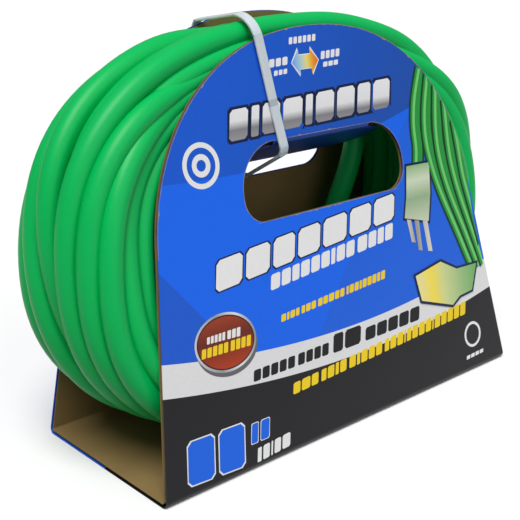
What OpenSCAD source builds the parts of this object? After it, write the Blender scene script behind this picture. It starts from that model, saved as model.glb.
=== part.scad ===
// Heavy outdoor extension cord, coiled on edge in a folded carton sleeve and tied at the top.
// Millimetres. X runs along the sleeve's width, Y from its front to its back, Z up.
// The origin is the middle of the sleeve's base, on the surface that it stands on.

/* [Carton sleeve] */
// Width of the sleeve at its base
base_w = 210; // [200:1:220]
// Depth of the sleeve at its base
base_d = 83; // [80:1:90]
// Thickness of the corrugated board
board_t = 2; // [1.5:0.1:2.5]
// Lean of the front panel towards the back
front_lean = 12; // [11:0.5:13]
// Lean of the back panel towards the front
back_lean = 4; // [3:0.5:5]
// Half width of a panel where its arch begins
arch_half_w = 92; // [88:1:95]
// Height of the arch's springing line, up the slope
arch_base = 78; // [70:1:84]
// Rise of the arch above that line
arch_rise = 93; // [88:1:96]
// Squareness of the arch, where 2 is an ellipse
arch_power = 2.2; // [2:0.1:2.6]

/* [Hand holes] */
// Width of a hand hole
hole_w = 93.6; // [88:0.2:98]
// Height of a hand hole's top edge, up the slope
hole_top = 127.4; // [125:0.2:129]
// Height of a hand hole
hole_h = 31; // [29:0.5:32]
// Radius of a hand hole's upper corners
hole_upper_r = 19; // [14:0.5:20]
// Radius of a hand hole's lower corners
hole_lower_r = 10; // [8:0.5:11]
// Gap cut between a flap and its hole
flap_gap = 0.4; // [0.3:0.05:0.6]
// Front flap's angle from hanging straight down
front_flap_angle = 64; // [60:1:65]
// Back flap's angle from hanging straight down
back_flap_angle = 78; // [77:1:80]

/* [Cord] */
// Outer diameter of the cord's jacket
cord_d = 9.8; // [9:0.1:10]
// Middle of the coil, left of the sleeve's middle
coil_x = -6.5; // [-10:0.5:0]
// Overall width of the coil
coil_w = 243; // [236:1:246]
// Top of the coil
coil_top = 172.5; // [170:0.5:174]
// Width of the open middle of the coil
eye_w = 131; // [128:1:134]
// Bottom of the open middle
eye_bottom = 38; // [36:0.5:38.5]
// Top of the open middle
eye_top = 129; // [128:0.5:130]
// Gap between the coil and the board that it rests on
rest_gap = 0.3; // [0.2:0.05:0.4]

/* [Cable tie] */
// Width of the strap
tie_w = 4.6; // [3.6:0.1:4.8]
// Thickness of the strap
tie_t = 1.2; // [1:0.1:1.3]
// Height of the tie's head, up the back panel
head_v = 150; // [146:1:152]

/* [Plug and connector] */
// Width of a blade
blade_w = 6.35; // [6.2:0.05:6.6]
// Thickness of a blade
blade_t = 1.5; // [1.4:0.1:1.6]
// Distance between the two blades
blade_pitch = 12.7; // [12.6:0.1:12.8]
// Distance from the ground pin to the line of the blades
ground_offset = 11.9; // [11.8:0.1:12]
// Length of a blade outside the plug
blade_out = 16.5; // [15.9:0.1:18]
// Radius of the ground pin
pin_r = 2.4; // [2.35:0.01:2.45]
// Length of the ground pin outside the plug
pin_out = 20; // [19:0.5:21]

/* [Hidden] */

board_colour = "#a98e5f";
print_colour = "#1f62d8";
tie_colour = "#e8eef2";
cord_colour = "#12c254";
clear_colour = [0.85, 0.93, 0.88, 0.45];
core_colour = "#2a9d4b";
line_colour = "#202020";
neutral_colour = "#e8e8e8";
ground_colour = "#1f8f3f";
brass_colour = "#c9a14a";

smooth = 64;
big = 400;
cord_r = cord_d / 2;

// Where each one's face is, on the middle line of its body
plug_at = [14, -12, 56];
connector_at = [-40, 18, 55];

// ---- outlines -------------------------------------------------------------

// A quarter or more of a rounded corner, as points
function arc(centre, r, from, to, steps = 10) =
    [for (i = [0:steps]) let (a = from + (to - from) * i / steps)
        centre + r * [cos(a), sin(a)]];

// A point of the superellipse |x/a|^n + |y/b|^n = 1
function super(a, b, n, angle) =
    let (c = cos(angle), s = sin(angle))
    [a * sign(c) * pow(abs(c), 2 / n), b * sign(s) * pow(abs(s), 2 / n)];

// A panel: straight flared sides under a squarish arch
function panel_points() = concat(
    [[-base_w / 2, 0], [-base_w / 2, -1], [base_w / 2, -1], [base_w / 2, 0]],
    [for (i = [3:45]) [0, arch_base] + super(arch_half_w, arch_rise, arch_power, i * 180 / 48)]);

// The hand hole's outline, drawn in by inset for the flap that is cut from it
function hole_points(inset) =
    let (w = hole_w / 2 - inset, top = hole_top - inset, bottom = hole_top - hole_h + inset,
         u = hole_upper_r - inset, l = hole_lower_r - inset)
    concat(
        arc([w - u, top - u], u, 0, 90), arc([u - w, top - u], u, 90, 180),
        arc([l - w, bottom + l], l, 180, 270), arc([w - l, bottom + l], l, 270, 360));

// ---- frames of the two leaning panels, with +Z out of the outer face ----------

module on_front() {
    translate([0, -base_d / 2, 0]) rotate([90 - front_lean, 0, 0]) children();
}

module on_back() {
    mirror([0, 1, 0]) translate([0, -base_d / 2, 0]) rotate([90 - back_lean, 0, 0]) children();
}

// ---- carton sleeve -----------------------------------------------------------

module panel() {
    translate([0, 0, -board_t]) linear_extrude(board_t) difference() {
        polygon(panel_points());
        polygon(hole_points(0));
    }
}

module above_ground() {
    intersection() {
        children();
        translate([-big / 2, -big / 2, 0]) cube(big);
    }
}

module carton_front_panel() {
    color(print_colour) above_ground() on_front() panel();
}

module carton_back_panel() {
    color(board_colour) above_ground() on_back() panel();
}

module carton_bottom_panel() {
    front = -base_d / 2 + board_t / cos(front_lean);
    back = base_d / 2 - board_t / cos(back_lean);
    color(board_colour) translate([-base_w / 2, 0, 0]) rotate([90, 0, 90])
        linear_extrude(base_w) polygon([
            [front, 0], [back, 0],
            [back - board_t * tan(back_lean), board_t],
            [front + board_t * tan(front_lean), board_t]]);
}

module flap_blank() {
    translate([0, 0, -board_t]) linear_extrude(board_t) polygon(hole_points(flap_gap));
}

// The crease is at the hole's top edge, on the inner face
module folded(angle) {
    translate([0, hole_top, -board_t]) rotate([angle, 0, 0])
        translate([0, -hole_top, board_t]) children();
}

module front_handle_flap() {
    color(print_colour) on_front() folded(front_lean + front_flap_angle) flap_blank();
}

module back_handle_flap() {
    color(board_colour) on_back() folded(back_lean + back_flap_angle) flap_blank();
}

// ---- cable tie ---------------------------------------------------------------

// The tie lies in one upright plane, tipped a little about Y; its route is in (y, z).
tie_x = -27;
tie_tip = -8;
tie_pivot_z = 146;
tie_stand = tie_t / 2 + 0.25;

// A point in (y, z) at height v up a panel's slope and n outside its outer face
function front_at(v, n) =
    [-base_d / 2 + v * sin(front_lean) - n * cos(front_lean),
     v * cos(front_lean) + n * sin(front_lean)];
function back_at(v, n) =
    [base_d / 2 - v * sin(back_lean) + n * cos(back_lean),
     v * cos(back_lean) + n * sin(back_lean)];

head_n0 = 2.6;
head_n1 = 8;
tail_n = 9.4;
head_below = 2.2;
head_above = 4.6;

// Corners of the strap's route with the radius of each bend: from the head's root over the
// back panel, the coil and the front panel, in under the flaps, and back out to the head
tie_route = [
    [back_at(head_v + head_above, head_n0 + tie_t / 2), 0],
    [back_at(head_v + head_above + 3, head_n0 + tie_t / 2), 3],
    [back_at(head_v + head_above + 8, tie_stand), 3],
    [[back_at(174, tie_stand)[0], 173.6], 6],
    [[front_at(175, tie_stand)[0], 173.6], 6],
    [front_at(121.5, tie_stand), 3.5],
    [[12, 102.6], 8],
    [back_at(119, tie_stand), 4],
    [back_at(head_v, tie_stand), 1.8],
    [back_at(head_v, tail_n), 0]];

// The bend at corner i as an arc that meets both straights
function bend(route, i) =
    let (p = route[i][0], r = route[i][1])
    r == 0 ? [p] :
    let (a = route[i - 1][0] - p, b = route[i + 1][0] - p,
         ua = a / norm(a), ub = b / norm(b),
         half = acos(max(-1, min(1, ua * ub))) / 2,
         mid = (ua + ub) / norm(ua + ub),
         centre = p + mid * r / sin(half),
         start = p + ua * r / tan(half) - centre,
         turn = 180 - 2 * half,
         side = sign(ua[0] * ub[1] - ua[1] * ub[0]))
    [for (k = [0:8]) let (t = -side * turn * k / 8)
        centre + [start[0] * cos(t) - start[1] * sin(t), start[0] * sin(t) + start[1] * cos(t)]];

tie_line = [for (i = [0:len(tie_route) - 1]) each bend(tie_route, i)];

// The normal of a line of points at point i
function normal_at(line, i) =
    let (d = line[min(i + 1, len(line) - 1)] - line[max(i - 1, 0)])
    [-d[1], d[0]] / norm(d);

module in_tie_plane() {
    translate([tie_x, 0, tie_pivot_z]) rotate([0, tie_tip, 0]) translate([0, 0, -tie_pivot_z])
        rotate([90, 0, 90]) children();
}

module tie_strap() {
    last = len(tie_line) - 1;
    color(tie_colour) in_tie_plane() translate([0, 0, -tie_w / 2]) linear_extrude(tie_w)
        polygon(concat(
            [for (i = [0:last]) tie_line[i] + normal_at(tie_line, i) * tie_t / 2],
            [for (i = [last:-1:0]) tie_line[i] - normal_at(tie_line, i) * tie_t / 2]));
}

// The head's own frame: x is up the back panel's slope from the slot, y is out of its face
module at_head() {
    in_tie_plane() translate(back_at(head_v, 0)) rotate([0, 0, 90 + back_lean]) mirror([0, 1, 0])
        children();
}

slot_half = tie_t / 2 + 0.1;
pawl_room = 2.6;

module tie_head() {
    wall = 1.4;
    color(tie_colour) difference() {
        at_head() translate([-head_below, head_n0, -tie_w / 2 - wall])
            cube([head_below + head_above, head_n1 - head_n0, tie_w + 2 * wall]);
        at_head() translate([-slot_half, 0, -tie_w / 2 - 0.1])
            cube([2 * slot_half, 2 * head_n1, tie_w + 0.2]);
        at_head() translate([0, 0, -tie_w / 2 + 0.4])
            cube([slot_half + pawl_room, 2 * head_n1, tie_w - 0.8]);
    }
}

// A sprung tongue that leans on the strap's teeth
module tie_pawl() {
    near = slot_half + 0.25;
    color(tie_colour) at_head() translate([0, 0, -tie_w / 2 + 0.8]) linear_extrude(tie_w - 1.6)
        polygon([
            [near, head_n0 + 0.8], [near + 0.7, head_n0 + 0.6],
            [near + 1.7, head_n1 - 0.7], [near + 0.6, head_n1 - 0.7]]);
}

// ---- cord ----------------------------------------------------------------------

coil_bottom = board_t + rest_gap;
coil_power = 2.35;
eye_power = 2.8;
eye_x = coil_x + 1;
flap_room_w = hole_w + 3;
flap_room_from = 100;

// A closed outline in (x, z) between two heights
function oval(x, bottom, top, w, n, steps) =
    [for (i = [0:steps - 1])
        [x, (bottom + top) / 2] + super(w / 2, (top - bottom) / 2, n, i * 360 / steps)];

// The room between the leaning panels, kept clear of the board
module between_panels() {
    stand = board_t + rest_gap;
    translate([-big / 2, 0, 0]) rotate([90, 0, 90]) linear_extrude(big) polygon([
        front_at(-1, -stand), back_at(-1, -stand), back_at(190, -stand), front_at(190, -stand)]);
}

// The turns of the coil as one solid, cut away at the top of its open middle for the flaps
module cord_coil() {
    color(cord_colour) intersection() {
        rotate([90, 0, 0]) translate([0, 0, -base_d]) linear_extrude(2 * base_d) difference() {
            polygon(oval(coil_x, coil_bottom, coil_top, coil_w, coil_power, 72));
            polygon(oval(eye_x, eye_bottom, eye_top, eye_w, eye_power, 60));
            translate([-flap_room_w / 2, flap_room_from])
                square([flap_room_w, eye_top - flap_room_from]);
        }
        between_panels();
    }
}

// A tube swept along points, with rings square to the run of the line
sides = 12;
function ring(points, i, r) =
    let (last = len(points) - 1,
         d = points[min(i + 1, last)] - points[max(i - 1, 0)],
         t = d / norm(d),
         a = cross(t, [0, 1, 0]) / norm(cross(t, [0, 1, 0])),
         b = cross(t, a))
    [for (k = [0:sides - 1]) points[i] + r * (cos(360 * k / sides) * a + sin(360 * k / sides) * b)];

module tube(points, r) {
    n = len(points);
    polyhedron(
        points = [for (i = [0:n - 1]) each ring(points, i, r)],
        faces = concat(
            [[for (k = [0:sides - 1]) k]],
            [for (i = [0:n - 2], k = [0:sides - 1])
                [i * sides + k, (i + 1) * sides + k,
                 (i + 1) * sides + (k + 1) % sides, i * sides + (k + 1) % sides]],
            [[for (k = [sides - 1:-1:0]) (n - 1) * sides + k]]));
}

// Each end of the cord, from inside its moulding into the coil
plug_lead_route = [
    [-13, -12, 56], [-30, -12, 56], [-46, -12, 56], [-54, -11.5, 57], [-62, -10.5, 59.5],
    [-68, -9.5, 63]];
connector_lead_route = [
    [0, 18, 55], [16, 18, 55], [32, 18, 55], [40, 17.5, 56], [48, 16.5, 58.5], [55, 15, 63]];

module plug_lead() {
    color(cord_colour) tube(plug_lead_route, cord_r);
}

module connector_lead() {
    color(cord_colour) tube(connector_lead_route, cord_r);
}

// ---- plug, in its own frame: x out of its face, the ground pin below the blades ----------

body_len = 32;
relief_len = 28;
jacket_end = plug_lead_route[0][0] - plug_at[0];
terminal_r = 2.2;
wire_r = 1.7;
wire_ring = 2.1;
blade_z = 3;
ground_z = blade_z - ground_offset;
terminal_end = -15;
core_from = -9.5;
core_to = -2;
fit = 0.05;

module at_plug() {
    translate(plug_at) children();
}

// A solid turned about the X axis, from [x, r] points
module turned(points) {
    rotate([0, 90, 0]) rotate_extrude($fn = smooth) polygon([for (p = points) [p[1], p[0]]]);
}

// A round bar along X
module rod(from, to, r) {
    translate([from, 0, 0]) rotate([0, 90, 0]) cylinder(h = to - from, r = r, $fn = smooth);
}

// A wire runs straight out of the jacket, crosses over, and runs straight into its terminal
module wire(from, to, r) {
    out = [2, 0, 0];
    tube([from, from + out, to - out, to], r);
}

// Where wire k leaves a jacket that ends at x: 0 is the ground, 1 the neutral, 2 the line
function wire_out(x, k) = [x, wire_ring * cos(120 * k - 90), wire_ring * sin(120 * k - 90)];

// Where terminal k is in the plug and in the connector
function terminal_at(x, k) = k == 0 ? [x, 0, ground_z] : [x, (3 - 2 * k) * blade_pitch / 2, blade_z];

// A boot that tapers from x = 0 back to its small end, with grooves round it
module strain_relief(length, big_r, small_r) {
    rings = 5;
    pitch = length / (rings + 1);
    difference() {
        turned([[-length, 0], [-length, small_r], [0, big_r], [0, 0]]);
        rod(-length - 1, 1, cord_r + fit);
        for (i = [1:rings]) {
            r = big_r + (small_r - big_r) * i / (rings + 1);
            translate([-i * pitch, 0, 0])
                turned([[-0.9, r - 0.9], [-0.9, r + 3], [0.9, r + 3], [0.9, r - 0.9]]);
        }
    }
}

// A flat blade and the barrel behind it that grips its wire; grow makes the room for it
module blade(k, grow = 0) {
    tip = 1.5;
    w = blade_w / 2 + grow;
    at = terminal_at(0, k);
    translate(at) rotate([90, 0, 0]) translate([0, 0, -blade_t / 2 - grow])
        linear_extrude(blade_t + 2 * grow) polygon([
            [terminal_end + 4, -w], [blade_out - tip, -w], [blade_out, tip - w],
            [blade_out, w - tip], [blade_out - tip, w], [terminal_end + 4, w]]);
    translate(at) rod(terminal_end, terminal_end + 5, terminal_r + grow);
}

module ground_pin(grow = 0) {
    translate([0, 0, ground_z]) {
        rod(terminal_end, 0, terminal_r + grow);
        rod(0, pin_out - pin_r, pin_r + grow);
        translate([pin_out - pin_r, 0, 0]) sphere(pin_r + grow, $fn = smooth);
    }
}

module plug_wire(k, grow = 0) {
    wire(wire_out(jacket_end, k), terminal_at(terminal_end, k), wire_r + grow);
}

// The green bridge, across the plug at x from one value to another
module bridge(from, to, w, top, bottom, grow = 0) {
    a = w / 2 + grow;
    translate([from - grow, 0, 0]) rotate([90, 0, 90]) linear_extrude(to - from + 2 * grow) polygon([
        [-a, top + grow], [a, top + grow], [a, -2.5], [4.5 + grow, bottom - grow],
        [-4.5 - grow, bottom - grow], [-a, -2.5]]);
}

module plug_bridge(grow = 0) {
    bridge(core_from, core_to, 19, 7.3, -12, grow);
}

module plug_line_blade() {
    color(brass_colour) at_plug() blade(2);
}

module plug_neutral_blade() {
    color(brass_colour) at_plug() blade(1);
}

module plug_ground_pin() {
    color(brass_colour) at_plug() ground_pin();
}

module plug_core() {
    color(core_colour) at_plug() difference() {
        plug_bridge();
        for (k = [1, 2]) blade(k, fit);
        ground_pin(fit);
    }
}

// The moulding: a face flange, and a grip that narrows to the boot
module plug_body() {
    color(clear_colour) at_plug() difference() {
        intersection() {
            turned([
                [-body_len, 0], [-body_len, 9.6], [-25, 13.2], [-15, 12.9], [-10.5, 13.6], [-9, 15.6],
                [-8, 16.4], [-1, 16.4], [0, 15.4], [0, 0]]);
            translate([-body_len - 1, -14, -14]) cube([body_len + 2, 28, 28]);
        }
        plug_bridge(fit);
        for (k = [1, 2]) blade(k, fit);
        ground_pin(fit);
        for (k = [0:2]) plug_wire(k, fit);
        rod(-body_len - 1, jacket_end, cord_r + fit);
    }
}

module plug_strain_relief() {
    color(clear_colour) at_plug() translate([-body_len, 0, 0]) strain_relief(relief_len, 9, 6.4);
}

module plug_line_wire() {
    color(line_colour) at_plug() plug_wire(2);
}

module plug_neutral_wire() {
    color(neutral_colour) at_plug() plug_wire(1);
}

module plug_ground_wire() {
    color(ground_colour) at_plug() plug_wire(0);
}

// ---- connector, in its own frame: x out of its face --------------------------------------

conn_len = 46;
conn_w = 29;
conn_h = 28;
conn_relief = 26;
conn_jacket_end = connector_at[0] - connector_lead_route[0][0];
contact_from = -20;
contact_to = -3;
contact_end = -26;
carrier_from = -22;
carrier_to = -1.5;
leaf_w = 3.1;
leaf_h = 6.8;

module at_connector() {
    translate(connector_at) mirror([1, 0, 0]) children();
}

// A bar along X with rounded edges
module soft_bar(from, to, w, h, r) {
    a = w / 2 - r;
    b = h / 2 - r;
    translate([from, 0, 0]) rotate([90, 0, 90]) linear_extrude(to - from) polygon(concat(
        arc([a, b], r, 0, 90, 6), arc([-a, b], r, 90, 180, 6),
        arc([-a, -b], r, 180, 270, 6), arc([a, -b], r, 270, 360, 6)));
}

// The outside of a contact, with its barrel; k is as for the wires
module contact_block(k, grow = 0) {
    if (k == 0)
        translate([0, 0, ground_z]) rod(contact_from - grow, contact_to + grow, 3.3 + grow);
    else
        translate(terminal_at(0, k) + [contact_from - grow, -leaf_w / 2 - grow, -leaf_h / 2 - grow])
            cube([contact_to - contact_from, leaf_w, leaf_h] + 2 * grow * [1, 1, 1]);
    translate(terminal_at(0, k)) rod(contact_end, contact_from + 1, terminal_r + grow);
}

// The way in for a blade or a pin; k is as for the wires
module entry(k, from, to, grow) {
    if (k == 0)
        translate([0, 0, ground_z]) rod(from, to, pin_r + grow);
    else
        translate(terminal_at(0, k) + [from, -blade_t / 2 - grow, -blade_w / 2 - grow])
            cube([to - from, blade_t + 2 * grow, blade_w + 2 * grow]);
}

module contact(k) {
    color(brass_colour) at_connector() difference() {
        contact_block(k);
        entry(k, contact_from + 2, 5, 0.05);
    }
}

module connector_line_contact() {
    contact(2);
}

module connector_neutral_contact() {
    contact(1);
}

module connector_ground_contact() {
    contact(0);
}

module carrier(grow = 0) {
    bridge(carrier_from, carrier_to, 20.4, 7.8, -12.9, grow);
}

module connector_core() {
    color(core_colour) at_connector() difference() {
        carrier();
        for (k = [0:2]) {
            contact_block(k, fit);
            entry(k, contact_to, 5, 0.3);
        }
    }
}

module connector_wire(k, grow = 0) {
    wire(wire_out(conn_jacket_end, k), terminal_at(contact_end, k), wire_r + grow);
}

module lamp(grow = 0) {
    translate([0, 0, 9.2]) {
        rod(-33, -25, 1.9 + grow);
        translate([-25, 0, 0]) sphere(1.9 + grow, $fn = smooth);
    }
}

module resistor(grow = 0) {
    translate([0, 4.6, 9.4]) rod(-33, -26, 1.1 + grow);
}

module connector_body() {
    color(clear_colour) at_connector() difference() {
        union() {
            soft_bar(-36, 0, conn_w, conn_h, 7);
            turned([[-conn_len, 0], [-conn_len, 9.6], [-36, 13.4], [-35, 13.4], [-35, 0]]);
        }
        carrier(fit);
        for (k = [0:2]) {
            contact_block(k, fit);
            entry(k, contact_to, 5, 0.3);
            connector_wire(k, fit);
        }
        lamp(fit);
        resistor(fit);
        rod(-conn_len - 1, conn_jacket_end, cord_r + fit);
    }
}

module connector_strain_relief() {
    color(clear_colour) at_connector() translate([-conn_len, 0, 0]) strain_relief(conn_relief, 9, 6.4);
}

module connector_line_wire() {
    color(line_colour) at_connector() connector_wire(2);
}

module connector_neutral_wire() {
    color(neutral_colour) at_connector() connector_wire(1);
}

module connector_ground_wire() {
    color(ground_colour) at_connector() connector_wire(0);
}

module indicator_lamp() {
    color("#f2d24a") at_connector() lamp();
}

module lamp_resistor() {
    color("#c8b48a") at_connector() resistor();
}

carton_bottom_panel();
carton_front_panel();
carton_back_panel();
front_handle_flap();
back_handle_flap();
tie_strap();
tie_head();
tie_pawl();
cord_coil();
plug_lead();
connector_lead();
plug_body();
plug_core();
plug_strain_relief();
plug_line_blade();
plug_neutral_blade();
plug_ground_pin();
plug_line_wire();
plug_neutral_wire();
plug_ground_wire();
connector_body();
connector_core();
connector_strain_relief();
connector_line_contact();
connector_neutral_contact();
connector_ground_contact();
connector_line_wire();
connector_neutral_wire();
connector_ground_wire();
indicator_lamp();
lamp_resistor();
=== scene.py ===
# A 15.24 m outdoor extension cord, coiled on edge in a folded carton sleeve and held by one
# cable tie. Metres. X runs along the sleeve's width, Y from its front to its back, Z up.
import math

import bpy
import numpy as np
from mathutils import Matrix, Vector


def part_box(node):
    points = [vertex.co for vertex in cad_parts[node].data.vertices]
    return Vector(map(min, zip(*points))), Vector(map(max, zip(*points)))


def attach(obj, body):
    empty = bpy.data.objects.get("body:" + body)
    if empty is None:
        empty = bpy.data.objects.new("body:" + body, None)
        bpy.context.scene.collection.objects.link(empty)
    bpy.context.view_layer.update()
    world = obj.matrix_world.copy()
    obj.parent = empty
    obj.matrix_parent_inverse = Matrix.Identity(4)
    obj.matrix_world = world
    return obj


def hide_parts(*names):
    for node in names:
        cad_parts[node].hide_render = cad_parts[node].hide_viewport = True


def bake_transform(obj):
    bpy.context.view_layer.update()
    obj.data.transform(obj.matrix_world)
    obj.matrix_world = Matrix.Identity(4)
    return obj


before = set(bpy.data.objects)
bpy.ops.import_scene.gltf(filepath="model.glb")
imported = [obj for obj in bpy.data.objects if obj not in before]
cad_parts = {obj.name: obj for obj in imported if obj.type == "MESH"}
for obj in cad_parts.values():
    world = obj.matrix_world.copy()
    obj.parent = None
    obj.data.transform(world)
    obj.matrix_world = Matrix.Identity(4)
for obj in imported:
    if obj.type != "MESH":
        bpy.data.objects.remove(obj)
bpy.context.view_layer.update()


# ---- camera, light and table -------------------------------------------------------------
# A packshot: the camera looks down a little at the front left corner of the sleeve. One wide
# soft light is overhead to the left, a weaker one is in front, and the room is white.
camera_turn = math.radians(-41.86)
camera_tilt = math.radians(90 - 18.66)
bpy.ops.object.camera_add(location=(-0.3008, -0.3116, 0.2106), rotation=(camera_tilt, 0, camera_turn))
camera = bpy.context.object
camera.name = "camera"
camera.data.lens = 71.25
camera.data.sensor_width = 36
bpy.context.scene.camera = camera

room = bpy.data.worlds.new("white_room")
room.use_nodes = True
walls = room.node_tree.nodes["Background"]
walls.inputs["Color"].default_value = (1, 1, 1, 1)
walls.inputs["Strength"].default_value = 0.24
backdrop = room.node_tree.nodes.new("ShaderNodeBackground")
backdrop.inputs["Color"].default_value = (1, 1, 1, 1)
seen = room.node_tree.nodes.new("ShaderNodeLightPath")
either = room.node_tree.nodes.new("ShaderNodeMixShader")
room.node_tree.links.new(seen.outputs["Is Camera Ray"], either.inputs["Fac"])
room.node_tree.links.new(walls.outputs["Background"], either.inputs[1])
room.node_tree.links.new(backdrop.outputs["Background"], either.inputs[2])
room.node_tree.links.new(either.outputs["Shader"], room.node_tree.nodes["World Output"].inputs["Surface"])
bpy.context.scene.world = room
bpy.context.scene.view_settings.view_transform = "Standard"


def studio_light(name, place, width, power):
    """A far soft light that shines from a direction onto the object."""
    bpy.ops.object.light_add(type="SUN", location=place)
    light = bpy.context.object
    light.name = name
    light.data.angle = math.radians(width)
    light.data.energy = power
    light.rotation_euler = (-Vector(place)).to_track_quat("-Z", "Y").to_euler()


studio_light("top_light", (-0.38, -0.30, 1.0), 34, 3.0)
studio_light("front_light", (0.1, -1.0, 0.50), 60, 0.75)

bpy.ops.object.select_all(action="DESELECT")
bpy.ops.mesh.primitive_plane_add(size=6, location=(0, 0, 0))
table = bpy.context.object
table.name = "table"
table_paint = bpy.data.materials.new("table_paint")
table_paint.use_nodes = True
table_paint.node_tree.nodes["Principled BSDF"].inputs["Base Color"].default_value = (0.92, 0.92, 0.92, 1)
table_paint.node_tree.nodes["Principled BSDF"].inputs["Roughness"].default_value = 0.7
table.data.materials.append(table_paint)
table.visible_diffuse = False


# ---- the cord ----------------------------------------------------------------------------
# Three copper wires in one round green rubber jacket, 15.24 m long. It is wound on edge in
# one flat coil, and the winding settles between the leaning panels: the turns are pushed off
# each other and off the walls. Under the arch the inner turns are packed into each other.
cord_length = 15.24
cord_d = 0.0098
cord_r = cord_d / 2
plug_lead = [
    (-0.013, -0.012, 0.056), (-0.030, -0.012, 0.056), (-0.046, -0.012, 0.056),
    (-0.054, -0.0115, 0.057), (-0.062, -0.0105, 0.0595), (-0.068, -0.0095, 0.063)]
connector_lead = [
    (0.000, 0.018, 0.055), (0.016, 0.018, 0.055), (0.032, 0.018, 0.055),
    (0.040, 0.0175, 0.056), (0.048, 0.0165, 0.0585), (0.055, 0.015, 0.063)]

low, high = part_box("cord_coil")
coil_a = (high.x - low.x) / 2
coil_b = (high.z - low.z) / 2
coil_centre = np.array([(high.x + low.x) / 2, (high.z + low.z) / 2])
coil_power = 2.35
eye_a = 0.0655
eye_b = 0.0455
eye_centre = np.array([coil_centre[0] + 0.001, 0.0835])
eye_power = 2.8
board_t = 0.002
front_lean = math.radians(12)
back_lean = math.radians(4)
base_d = 0.083


def oval_point(angle, centre, a, b, power):
    """Points in (x, z) on a squarish oval; the angle runs from its left end over its top."""
    c = -np.cos(angle)
    s = np.sin(angle)
    x = centre[0] + a * np.sign(c) * np.abs(c) ** (2 / power)
    z = centre[1] + b * np.sign(s) * np.abs(s) ** (2 / power)
    return np.stack([x, z], -1)


def coil_frame(angle):
    """Where the winding's middle is at an angle, which way is outwards, and its half thickness."""
    inner = oval_point(angle, eye_centre, eye_a, eye_b, eye_power)
    outer = oval_point(angle, coil_centre, coil_a, coil_b, coil_power)
    out = outer - inner
    thick = np.linalg.norm(out, axis=-1)
    return (inner + outer) / 2, out / thick[:, None], thick / 2


def angle_of(points):
    """The winding angle of points, from their place round the coil's middle line."""
    x = (points[:, 0] - coil_centre[0] - 0.0005) / ((coil_a + eye_a) / 2)
    z = (points[:, 2] - (coil_centre[1] + eye_centre[1]) / 2) / ((coil_b + eye_b) / 2)
    power = (coil_power + eye_power) / 2
    return np.arctan2(np.sign(z) * np.abs(z) ** (power / 2), -np.sign(x) * np.abs(x) ** (power / 2))


def panel_gap(x, z):
    """The front and back limits for a cord's middle, which are free to bulge past the sleeve's edges."""
    up = np.maximum(z - 0.078, 0)
    half = np.interp(z, [0, 0.078], [0.105, 0.092])
    arch = (np.abs(x) / 0.092) ** 2.2 + (up / 0.0905) ** 2.2
    past = np.where(z > 0.078, (np.maximum(arch, 0) ** (1 / 2.2) - 1) * 0.092, np.abs(x) - half)
    bulge = np.clip(0.45 * (past - 0.001), 0, 0.006)
    stand = board_t + cord_r + 0.0003
    front = -base_d / 2 + stand / math.cos(front_lean) + z * math.tan(front_lean) - bulge
    back = base_d / 2 - stand / math.cos(back_lean) - z * math.tan(back_lean) + bulge
    return front, back


columns = [5, 5, 4, 4, 5, 5]
slots = []
for column, layers in enumerate(columns):
    rows = [(row + 0.5) / layers * 2 - 1 for row in range(layers)]
    rows = rows if column % 2 == 0 else rows[::-1]
    slots += [((column + 0.5) / len(columns) * 2 - 1, row) for row in rows]
slots = np.array(slots)

point_step = 0.0076
wound = int(cord_length / point_step) - 2 * 12
draw = np.random.default_rng(14)


def wander(size, knots, scale):
    """A smooth random wave along the cord."""
    heights = draw.normal(0, scale, knots)
    at = np.linspace(0, knots - 1, size)
    i = np.clip(at.astype(int), 0, knots - 2)
    f = at - i
    f = f * f * (3 - 2 * f)
    return heights[i] * (1 - f) + heights[i + 1] * f


turn_at = np.linspace(0.04, 27.46, wound)
k = np.clip(turn_at.astype(int), 0, len(slots) - 2)
shift = np.clip((turn_at - k - draw.uniform(0, 0.55, len(slots))[k]) / 0.45, 0, 1)
shift = shift * shift * (3 - 2 * shift)
place = slots[k] * (1 - shift[:, None]) + slots[k + 1] * shift[:, None]
place[:, 0] += wander(wound, 110, 0.07)
place[:, 1] += wander(wound, 110, 0.12)
place = np.clip(place, -0.97, 0.97)

angle = 2 * math.pi * turn_at
middle, outwards, thick = coil_frame(angle)
radial = middle + outwards * ((thick - cord_r) * place[:, 1])[:, None]
front, back = panel_gap(radial[:, 0], radial[:, 1])
depth = (front + back) / 2 + (back - front) / 2 * place[:, 0]
coil = np.stack([radial[:, 0], depth, radial[:, 1]], -1)


def spaced(points, step):
    """Points a step apart along a smooth curve through the given ones."""
    points = np.array(points, float)
    for _ in range(3):
        ends = np.vstack([2 * points[0] - points[1], points, 2 * points[-1] - points[-2]])
        mids = (9 * (ends[1:-2] + ends[2:-1]) - ends[:-3] - ends[3:]) / 16
        rows = np.empty((2 * len(points) - 1, 3))
        rows[::2] = points
        rows[1::2] = mids
        points = rows
    run = np.concatenate([[0], np.cumsum(np.linalg.norm(np.diff(points, axis=0), axis=1))])
    count = max(int(round(run[-1] / step)), 2)
    at = np.linspace(0, run[-1], count + 1)
    return np.stack([np.interp(at, run, points[:, j]) for j in range(3)], -1)


first = spaced(plug_lead, point_step)
last = spaced(connector_lead, point_step)[::-1]
line = np.vstack([first, coil, last])
order = np.arange(len(line))
to_end = np.minimum(order, order[::-1])
held = to_end < 5
in_coil = np.clip((to_end - len(first)) / 14, 0, 1)
rest_step = cord_length / (len(line) - 1)


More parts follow.
